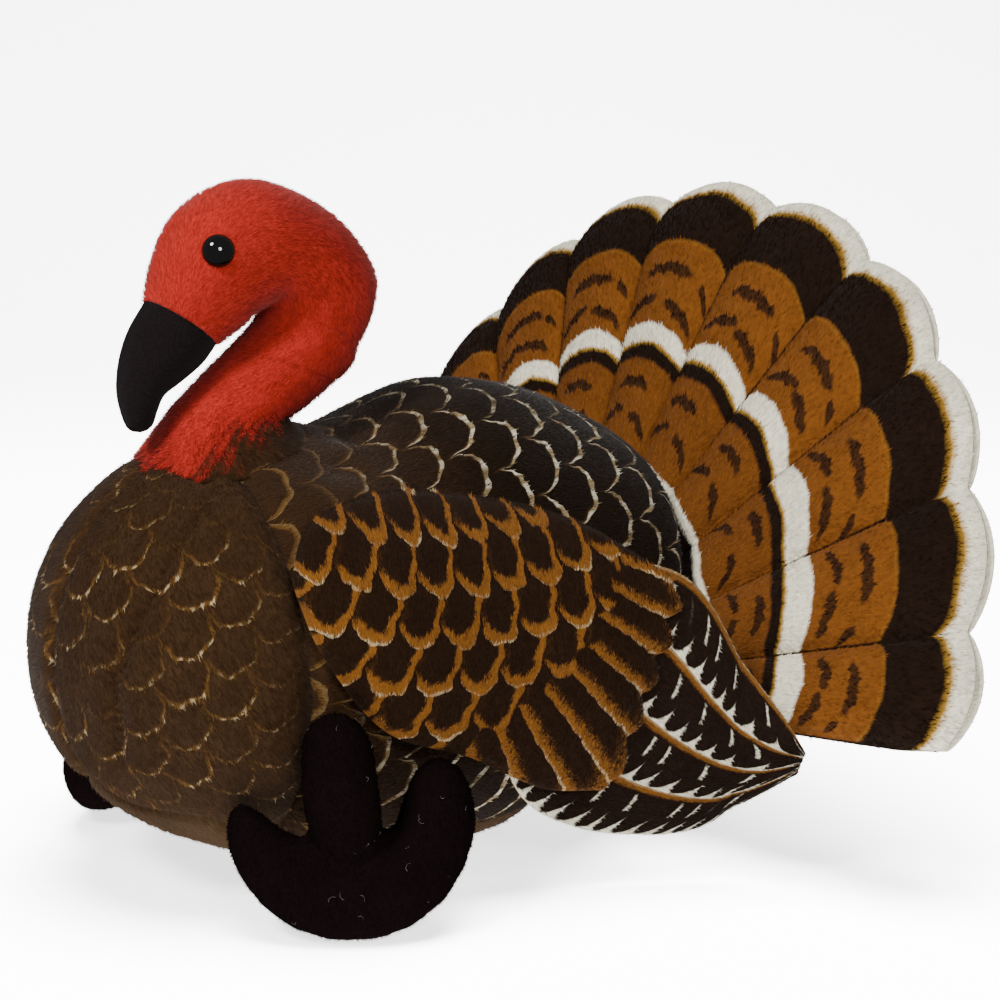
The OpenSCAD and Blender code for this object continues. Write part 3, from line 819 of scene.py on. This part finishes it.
# Ribs across the middle plane, in mm: [front y, front z, back y, back z, half width].
NECK_RIBS = [
    [-96, 142, -56, 142, 20], [-88, 150.5, -50.5, 146.5, 17.5], [-78, 159.5, -43.5, 150, 16.5],
    [-68, 167.5, -36, 155, 16.5], [-58.9, 175.3, -29.5, 159.6, 16.9],
    [-56.2, 180.4, -26.8, 165.6, 16.9],
]
HEAD_RIBS = [
    NECK_RIBS[-1], [-57, 181.6, -20.5, 178, 17.5], [-57.8, 182, -20, 191, 18.2],
    [-58.6, 182, -31, 205.5, 19], [-59.6, 181.4, -46, 215, 19], [-61.5, 180, -62, 219.5, 19],
    [-64.5, 178, -76, 216.5, 18.2], [-68.5, 174.5, -87.5, 208.5, 16.7],
    [-72.5, 172, -94.5, 195.5, 14.1], [-76.4, 169.3, -98, 184.2, 10.5],
]
BEAK_RIBS = [
    HEAD_RIBS[-1], [-81, 164, -104, 175.9, 9.8], [-88.5, 158.8, -107.6, 167, 8.4],
    [-94, 155.4, -108.9, 158.1, 6.8], [-96.2, 151.4, -108, 151.4, 5.5],
    [-98, 146.6, -106, 146, 3.7], [-100.6, 144.5, -103, 144.3, 1.2],
]
AROUND = 56

def ribbed(rows, count):
    """Rings through ribs, in metres. Their first column is at the back, the next on the bird's left."""
    r = spline(rows, np.linspace(0, 1, count))[:, None, :]
    turn = np.linspace(0, 2 * math.pi, AROUND, endpoint=False)[None, :]
    front = np.stack([0 * r[..., 0], r[..., 0], r[..., 1]], axis=-1)
    back = np.stack([0 * r[..., 0], r[..., 2], r[..., 3]], axis=-1)
    middle, half = (front + back) / 2, (back - front) / 2
    sideways = np.array([1.0, 0, 0]) * (r[..., 4] * np.sin(turn))[..., None]
    return (middle + half * np.cos(turn)[..., None] + sideways) * MM


def around_print_place(rings, v_start):
    """Print places on rings: u round them in mm, and v, which falls along them from v_start."""
    step = np.linalg.norm(np.diff(rings.mean(axis=1), axis=0), axis=1) / MM
    v = v_start - np.concatenate([[0], np.cumsum(step)])
    turn = np.linspace(-1, 1, rings.shape[1]) * 62
    return np.stack(np.broadcast_arrays(turn[None, :], v[:, None]), axis=-1).astype(float)


def tube(name, rings, uv, material, thick=1.4):
    closed = np.concatenate([rings, rings[:, :1]], axis=1)
    normal = grid_normals(rings, ring=True)
    normal = np.concatenate([normal, normal[:, :1]], axis=1)
    outwards = np.sign(((rings - rings.mean(axis=1, keepdims=True)) * normal[:, :-1]).sum())
    inner = closed - normal * thick * MM * outwards
    places = np.concatenate([uv, uv[:, -1:] + (uv[:, -1:] - uv[:, -2:-1])], axis=1)
    return shell(name, closed, inner, places, material, flip=outwards < 0)


# The rings of the neck's flared foot: [share of the way out, height over the body in mm].
SKIRT = [[1.0, -1.4], [0.9, 0.1], [0.72, 0.9], [0.5, 2.0], [0.3, 3.6], [0.12, 5.6]]


def neck_skirt(first_ring):
    """Rings that flare from the foot of the neck over the breast, furthest in front, the outermost
    lying in the body."""
    middle = first_ring.mean(axis=0)
    turn = np.linspace(0, 2 * math.pi, AROUND, endpoint=False)
    furthest = 1.28 + 0.95 * ease((1 - np.cos(turn)) / 2)
    rings = []
    for share, rise in SKIRT:
        way = middle + (first_ring - middle) * (1 + (furthest - 1) * share)[:, None] - CORE
        theta = np.degrees(np.arccos(np.clip(-unit(way)[:, 1], -1, 1)))
        phi = np.degrees(np.arctan2(way[:, 0], way[:, 2]))
        rings.append(body_at(theta, phi, np.full(len(way), rise * MM)))
    return np.array(rings)


def smooth_rows(rings, times):
    """The rings drawn towards the mean of their neighbours, the first and last few kept."""
    for _ in range(times):
        middle = (rings[:-2] + 2 * rings[1:-1] + rings[2:]) / 4
        rings = np.concatenate([rings[:1], middle[:-3], rings[-4:]])
    return rings


def make_head():
    red = printed_plush("red_plush", print_red, pile_mm=0.8, sheen=0.06)
    neck = ribbed(NECK_RIBS[:4], 26)
    neck = smooth_rows(np.concatenate([neck_skirt(neck[3]), neck[7:]]), 3)
    parts, furs, v = [], [], 160
    throat, head = ribbed(NECK_RIBS[3:], 12), ribbed(HEAD_RIBS, 60)
    for name, rings in (("neck", neck), ("throat", throat), ("head", head)):
        uv = around_print_place(rings, v)
        parts.append(tube(name, rings, uv, red))
        v = uv[-1, 0, 1]
    for k, part in enumerate(parts):
        furs.append(pile(part, print_red, ["red", "red_dark", "breast"], 31 + k, 3.4, 1.7,
                         lean=50, sheen=0.06, width=0.26))
    pivot = {j["name"]: np.array(j["pos_m"]) for j in frame["joints"]}
    throat_way = unit([0, 0.45, 0.89])
    throat_from = pivot["head_nod"] - throat_way * 10 * MM
    throat_to = pivot["head_nod"] - throat_way * 1 * MM
    for neck, throat, head in (parts, furs):
        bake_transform(neck)
        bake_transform(throat)
        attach(head, "head")
    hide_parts("neck_skin")
    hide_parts("neck_stuffing")
    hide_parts("head_skin", "head_stuffing")
    rings = ribbed(BEAK_RIBS, 44)
    cloth = woven_fabric("beak_fabric", "beak", 3.0)
    beak = tube("beak", rings, around_print_place(rings, 40), cloth, 0.8)
    close_tip(beak, rings[-1])
    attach(beak, "head")
    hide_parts("beak_skin", "beak_stuffing")


def close_tip(obj, ring):
    """Draws the last ring towards its middle."""
    tip = ring.mean(axis=0)
    for v in obj.data.vertices:
        if min(np.linalg.norm(np.array(v.co) - q) for q in ring[::8]) < 1.0 * MM:
            v.co = Vector(tip + (np.array(v.co) - tip) * 0.35)


make_head()


def make_eyes():
    gloss = moulded_plastic("eye_plastic", (0.002, 0.002, 0.002), 0.03, grain=0.0)
    washer = moulded_plastic("washer_plastic", (0.8, 0.8, 0.78), 0.5)
    for side in ("left", "right"):
        for node, material in ((f"eye_{side}", gloss), (f"eye_washer_{side}", washer)):
            materials = frame["nodes"][node].data.materials
            materials.clear()
            materials.append(material)


make_eyes()

# ---------------------------------------------------------------- wings

# Side view, in mm: how far out the wing lies along the body, as [y, x], and the edges of its two
# layers, as [y, z].
WING_REACH = np.array([[-110, 58], [-95, 68], [-80, 75], [-60, 81.5], [-20, 88], [20, 98],
                       [45, 112], [56, 132]], float)
COVER_TOP = [[-86, 108], [-76, 122], [-50, 128.5], [-20, 125], [8, 116], [31, 98]]
COVER_BOTTOM = [[-86, 103], [-81, 84], [-64, 61], [-38, 50], [-12, 36], [10, 33]]
FLIGHT_TOP = [[2, 100], [18, 103], [35, 98], [44, 76], [52, 57], [56, 46]]
FLIGHT_BOTTOM = [[-22, 54], [-17, 36], [-4, 23], [18, 16.5], [40, 19], [55, 38]]
WING_T = 7.0
FLIGHT_T = 3.6
FLIGHT_FEATHERS = 4


def wing_x(y, z):
    base = np.interp(y, WING_REACH[:, 0], WING_REACH[:, 1])
    up, down = np.clip((z - 75) / 62, 0, 1), 1 - z / 75
    return np.where(z > 75, base * np.sqrt(1 - 0.72 * up * up), base * (1 - 0.08 * down * down))


def side_view(top, bottom, rows, columns):
    s, t = np.meshgrid(np.linspace(0, 1, rows), np.linspace(0, 1, columns), indexing="ij")
    a, b = spline(top, s), spline(bottom, s)
    return a + (b - a) * t[..., None], s, t


def wing_points(flat_points, depth):
    y, z = flat_points[..., 0], flat_points[..., 1]
    return np.stack([wing_x(y, z) - depth, y, z], axis=-1) * MM


def wing_shell(name, side, outer, inner, place, material):
    hand = np.array([side, 1, 1])
    return shell(name, outer * hand, inner * hand, place, material, flip=side < 0)


def make_wing(name, side):
    flat_points, s, t = side_view(COVER_TOP, COVER_BOTTOM, 90, 64)
    plump = (np.sin(math.pi * t) * np.sin(math.pi * s ** 0.9)) ** 0.4
    turn, _ = long_feather_place(flat_points[..., 0], flat_points[..., 1])
    ridge = np.abs(np.sin(turn / FEATHER_WIDE * math.pi))
    tips = 0.9 * ridge * ease((s - 0.6) / 0.4)
    reach = (ridge * 3.6 - 1.4) * ease((s - 0.88) / 0.12) ** 2
    flat_points = flat_points + unit(flat_points - np.array(FEATHERS_FROM)) * reach[..., None]
    outer = wing_points(flat_points, 2.6 * (1 - plump) - 1.6 * plump - tips)
    outer = sewn(outer, ("left", "right", "first", "last"), depth=0.5 * MM, gather=0.25 * MM)
    inner = wing_points(flat_points, 2.9 + (WING_T - 2.9) * plump)
    material = printed_plush(f"wing_plush_{name}", print_wing)
    cover = wing_shell(f"wing_cover_{name}", side, outer, inner, flat_points, material)
    cover_fur = pile(cover, print_wing, ["wing", "rust", "cream"], 51 + side, 4.0, 1.4)

    flat_points, s, t = side_view(FLIGHT_TOP, FLIGHT_BOTTOM, 60, 60)
    beyond = flat_points[..., 0] - (10 + (flat_points[..., 1] - 33) * 21 / 65)
    under_cover = 3.0 + (WING_T - 1) * ease(-beyond / 14)
    tuck = np.where(beyond > 0, 3.0 * (1 - ease(beyond / 22)), under_cover)
    plump = (np.sin(math.pi * t) * np.sin(math.pi * s)) ** 0.5
    ridges = 0.45 * np.abs(np.sin(t * FLIGHT_FEATHERS * math.pi))
    outer = wing_points(flat_points, tuck + 1.2 * (1 - plump) - ridges)
    inner = wing_points(flat_points, tuck + 1.8 + (FLIGHT_T - 1.8) * plump)
    place = np.stack([t * FLIGHT_FEATHERS, run_length(flat_points)], axis=-1)
    material = printed_plush(f"flight_plush_{name}", print_flight, streak=(30, 0.45))
    flight = wing_shell(f"wing_flight_{name}", side, outer, inner, place, material)
    inks = ["fan_dark", "white", "rust", "cream"]
    flight_fur = pile(flight, print_flight, inks, 61 + side, 4.0, 1.1, width=0.24)

    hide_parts(f"wing_cover_{name}", f"wing_wadding_{name}", f"wing_lining_{name}")
    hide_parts(f"wing_flight_{name}")
    for parts, slot in (((cover, cover_fur), "wing_plush"), ((flight, flight_fur), "flight_plush")):
        for part in parts:
            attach(part, f"wing_{name}")


make_wing("left", 1)
make_wing("right", -1)

# ---------------------------------------------------------------- fan

LOBES = 11
LOBE_STEP = 16.2  # the angle of a lobe, in degrees
FAN_EDGE = 86.0  # the angle of the fan's side edges from upright
FAN_R = 170.0
FAN_START = 8.0  # the radius that the lobes begin at, in mm
FAN_LEAN = math.radians(25.5)
FAN_ROOT = next(np.array(j["pos_m"]) for j in frame["joints"] if j["name"] == "tail_lean") / MM
FAN_UP = np.array([0, math.sin(FAN_LEAN), math.cos(FAN_LEAN)])
FAN_NORMAL = np.array([0, -math.cos(FAN_LEAN), math.sin(FAN_LEAN)])
FAN_BEND = 0.11 / 170
LOBE_CUTS = 22
FAN_ROWS = 96


def fan_seams():
    inner = (np.arange(1, LOBES) - LOBES / 2) * LOBE_STEP
    return np.concatenate([[-FAN_EDGE], inner, [FAN_EDGE]])


def fan_grid(side, raised=0.0):
    """Points of the fan's front (side 1) or back (side -1) skin, and their print places."""
    seams = fan_seams()
    u = np.linspace(0, LOBES, LOBES * LOBE_CUTS + 1)
    lobe = np.minimum(np.floor(u).astype(int), LOBES - 1)
    across = (u - lobe) * 2 - 1
    angle = np.radians(seams[lobe] + (seams[lobe + 1] - seams[lobe]) * (u - lobe))
    share = np.linspace(0, 1, FAN_ROWS)[:, None] ** 0.92
    valley = FAN_R * (0.968 + 0.131 * np.cos(angle) ** 2)
    rim = valley * (1 + 0.034 * (1 - across ** 2))
    r = FAN_START + (rim - FAN_START) * share
    dome = 1 - across ** 2
    puff = np.sin(math.pi * np.clip(0.06 + 0.517 * share + 0.405 * share ** 6, 0, 1)) ** 0.5
    gathers = np.sin(r / 2.1 + lobe * 1.7) * np.exp(-(1 - np.abs(across)) / 0.30) * ease(share * 3)
    swell = 1 + 0.10 * np.sin(r / 17 + lobe * 2.3)
    height = 0.85 + 6.0 * np.maximum(dome, 0) ** 0.55 * puff * swell + 0.25 * gathers * dome ** 0.3
    x = r * np.sin(angle)
    curl = 6.0 * np.clip((share - 0.92) / 0.08, 0, 1) ** 1.5
    bowed = curl + FAN_BEND * x * x + 1.2 * np.sin(r / 31 + angle * 5) * ease((share - 0.3) / 0.7)
    p = FAN_ROOT + x[..., None] * np.array([1.0, 0, 0]) + (r * np.cos(angle))[..., None] * FAN_UP
    p = p + (side * (height + raised))[..., None] * FAN_NORMAL
    p = p + bowed[..., None] * np.array([0, 1.0, 0])
    place = np.stack(np.broadcast_arrays(u[None, :], r / valley * 100), axis=-1)
    return p * MM, place


def print_fan_back(u, v):
    return [("lining", 1.0), ("white", ramp(0.985, 0.995, v * 0.01 + uneven(u * 9, v, 0.004)))]


def fan_skin(name, side, plush, pattern):
    outer, place = fan_grid(side)
    inner, _ = fan_grid(side, -0.7)
    material = printed_plush(plush, pattern, streak=(30, 0.5))
    return shell(name, outer, inner, place, material, flip=side < 0)


def make_fan():
    front = fan_skin("fan_front", 1, "tail_plush", print_fan)
    inks = ["fan_dark", "white", "fan_rust", "gold"]
    front_fur = pile(front, print_fan, inks, 71, 1.2, 1.7, width=0.34, sheen=0.0)
    back = fan_skin("fan_back", -1, "tail_back_plush", print_fan_back)
    back_fur = pile(back, print_fan_back, ["lining", "white"], 72, 0.6, 1.6, width=0.34)
    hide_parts("tail_front_skin", *[f"tail_wadding_{k}" for k in range(1, LOBES + 1)])
    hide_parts("tail_back_skin")
    for skin, fur, slot in ((front, front_fur, "tail_plush"), (back, back_fur, "tail_back_plush")):
        for part in (skin, fur):
            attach(part, "tail")


make_fan()

# ---------------------------------------------------------------- legs and feet


TOE_GROWTH = np.array([1.22, 1.22, 1])  # how much larger the lowered copy is than its solid
TOE_DROP = (0.8 * MM, -0.9 * MM, 7 * MM)


def soft_copy(name, nodes, material, voxel, pressure, cap, lowered):
    """CAD solids joined into one skin, with one of them once more 7 mm lower, which cloth pressure
    swells until it looks stuffed. voxel and cap are mm."""
    points, faces = cad_mesh(*nodes)
    more, more_faces = cad_mesh(lowered)
    start, middle = len(points), np.mean(more, axis=0)
    points += [tuple(middle + (np.array(p) - middle) * TOE_GROWTH - TOE_DROP) for p in more]
    faces += [[start + k for k in face] for face in more_faces]
    mesh = bpy.data.meshes.new(name)
    mesh.from_pydata(points, [], faces)
    obj = add_object(name, mesh)
    remesh = obj.modifiers.new("remesh", "REMESH")
    remesh.mode, remesh.voxel_size, remesh.use_smooth_shade = "VOXEL", voxel * MM, True
    smooth = obj.modifiers.new("smooth", "SMOOTH")
    smooth.iterations, smooth.factor = 6, 0.5
    apply_modifiers(obj)
    swell(obj, pressure, cap)
    subdivide = obj.modifiers.new("subdivide", "SUBSURF")
    subdivide.levels = subdivide.render_levels = 1
    apply_modifiers(obj)
    obj.data.materials.append(material)
    smooth_shaded(obj.data)
    obj["outer"] = len(obj.data.polygons)
    co = read(obj.data.vertices, "co", 3) / MM
    places = np.stack([co[:, 0] * 0.6 + co[:, 1] * 0.8, -co[:, 2]], axis=1)
    set_print_places(obj.data, places)
    return obj


def apply_modifiers(obj):
    """The object's mesh as its modifiers leave it, with no modifier left."""
    graph = bpy.context.evaluated_depsgraph_get()
    made = bpy.data.meshes.new_from_object(obj.evaluated_get(graph))
    obj.modifiers.clear()
    made.name = obj.name
    obj.data = made


def swell(obj, pressure, cap):
    """Cloth pressure with gravity off for 20 frames, each point moving at most cap mm."""
    before = read(obj.data.vertices, "co", 3)
    cloth = obj.modifiers.new("cloth", "CLOTH")
    cloth.settings.use_pressure = True
    cloth.settings.uniform_pressure_force = pressure
    cloth.settings.effector_weights.gravity = 0
    cloth.settings.quality = 5
    cloth.collision_settings.use_collision = False
    cloth.point_cache.frame_start, cloth.point_cache.frame_end = 1, 20
    for number in range(1, 21):
        bpy.context.scene.frame_set(number)
    apply_modifiers(obj)
    bpy.context.scene.frame_set(1)
    move = read(obj.data.vertices, "co", 3) - before
    far = np.linalg.norm(move, axis=1, keepdims=True)
    move *= np.minimum(1, cap * MM / np.maximum(far, 1e-9))
    obj.data.vertices.foreach_set("co", raise_to(LOWEST, before + move).ravel())
    obj.data.update()


HAIR_STEPS = 10


def lint(name, skin, count, seed):
    """Stray pale hairs caught on the black plush: short thin curls."""
    rng = np.random.default_rng(seed)
    p, n, _ = mesh_arrays(skin)
    area = triangle_areas(p)
    points, cells = [], []
    for k in rng.choice(len(area), count, p=area / area.sum()):
        root, normal = p[k].mean(axis=0), unit(n[k].mean(axis=0))
        way = unit(np.cross(normal, rng.normal(size=3)))
        side = np.cross(way, normal)
        turns, radius = rng.uniform(0.8, 3.4), rng.uniform(0.5, 1.6) * MM
        first = len(points)
        for i in range(HAIR_STEPS + 1):
            q = turns * i / HAIR_STEPS
            above = normal * (0.75 + 0.25 * math.sin(2.2 * q)) * MM
            spot = root + above + radius * (math.sin(q) * way + (1 - math.cos(q)) * side)
            over = np.cross(math.cos(q) * way + math.sin(q) * side, normal)
            r = 0.045 * MM * (1 - 0.6 * i / HAIR_STEPS)
            low = spot - over * r * 0.5
            points += [spot + over * r, low + normal * r, low - normal * r]
        cells.append([first, first + 1, first + 2])
        for a in range(first, first + 3 * HAIR_STEPS, 3):
            cells += [[a + j, a + 3 + j, a + 3 + (j + 1) % 3, a + (j + 1) % 3] for j in range(3)]
        cells.append([len(points) - 1, len(points) - 2, len(points) - 3])
    material, _, shader = new_material(name, 0.8)
    shader.inputs["Base Color"].default_value = (0.22, 0.19, 0.185, 1)
    return make_object(name, points, cells, material)


def make_legs():
    print_black = plain("black")
    black = printed_plush("foot_plush", print_black, pile_mm=0.35, sheen=0.0, streak=(2.2, 1.2))
    for k, side in enumerate(("left", "right")):
        parts = "leg_skin", "leg_stuffing", "foot_skin", "foot_stuffing"
        nodes = [f"{part}_{side}" for part in parts]
        foot = soft_copy(f"foot_{side}", nodes, black, 2.2, 2.2, 2.2, f"leg_stuffing_{side}")
        fur = pile(foot, print_black, ["black"], 81 + k, 1.8, 0.9, lean=45, sheen=0.0)
        hairs = lint(f"lint_{side}", foot, 55, 91 + k)
        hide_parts(*nodes)
        for piece in (foot, fur, hairs):
            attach(piece, f"leg_{side}")


make_legs()

# ---------------------------------------------------------------- studio

CAMERA_AT = Vector((0.5813, -0.3996, 0.2406))
CAMERA_WAY = Vector((-0.788, 0.589, -0.179))
FLOOR_GLOW = 2.0


def make_floor():
    """A pale floor that curves up into a backdrop, white enough not to tint or grey the picture."""
    turns = np.linspace(0.1, math.pi / 2, 12)
    bend = [(1.2 + 0.8 * math.sin(q), 0.8 - 0.8 * math.cos(q)) for q in turns]
    curve = [(-1.2, 0), (1.2, 0)] + bend + [(2.0, 4)]
    across = Vector((-CAMERA_WAY.y, CAMERA_WAY.x, 0)).normalized()
    ahead = Vector((CAMERA_WAY.x, CAMERA_WAY.y, 0)).normalized()
    points = [across * side + ahead * far + Vector((0, 0, up)) for far, up in curve for side in (-5, 5)]
    mesh = bpy.data.meshes.new("floor")
    strips = [(k, k + 1, k + 3, k + 2) for k in range(0, 2 * len(curve) - 2, 2)]
    mesh.from_pydata(points, [], strips)
    smooth_shaded(mesh)
    floor = add_object("floor", mesh)
    floor.visible_glossy = floor.visible_diffuse = floor.visible_shadow = False
    material, _, shader = new_material("studio_floor", 0.9)
    shader.inputs["Base Color"].default_value = (0.92, 0.92, 0.92, 1)
    shader.inputs["Emission Color"].default_value = (1, 1, 1, 1)
    shader.inputs["Emission Strength"].default_value = FLOOR_GLOW
    mesh.materials.append(material)
    return floor


def aim(obj, place, way):
    obj.location = place
    obj.rotation_euler = way.to_track_quat("-Z", "Y").to_euler()


def area_light(name, place, size_m, power):
    """A round light at a place, aimed at the middle of the bird."""
    light = bpy.data.lights.new(name, "AREA")
    light.shape, light.size, light.energy = "DISK", size_m, power
    obj = add_object(name, light)
    aim(obj, place, Vector((0, 0, 0.09)) - Vector(place))
    return obj


def make_studio():
    floor = make_floor()
    floor_only = bpy.data.collections.new("floor_only")
    floor_only.objects.link(floor)
    overhead = area_light("overhead", (0.1, 0.0, 1.8), 1.3, 420)
    overhead.light_linking.receiver_collection = floor_only
    area_light("key", (0.35, -1.2, 1.4), 0.45, 31)
    area_light("fill", (1.4, -0.5, 0.8), 0.45, 15)
    area_light("rim", (-0.9, 1.1, 1.1), 0.9, 13)
    bounce = area_light("bounce", (0.15, -0.15, -0.4), 1.2, 11)  # what the floor would throw back
    bounce.visible_glossy = False
    world = bpy.data.worlds.new("studio")
    world.use_nodes = True
    background = world.node_tree.nodes["Background"]
    background.inputs["Color"].default_value = (1, 1, 1, 1)
    background.inputs["Strength"].default_value = 0.22
    bpy.context.scene.world = world
    camera = bpy.data.cameras.new("camera")
    camera.sensor_width, camera.lens = 36.0, 76.9
    obj = add_object("camera", camera)
    aim(obj, CAMERA_AT, CAMERA_WAY)
    bpy.context.scene.camera = obj


make_studio()
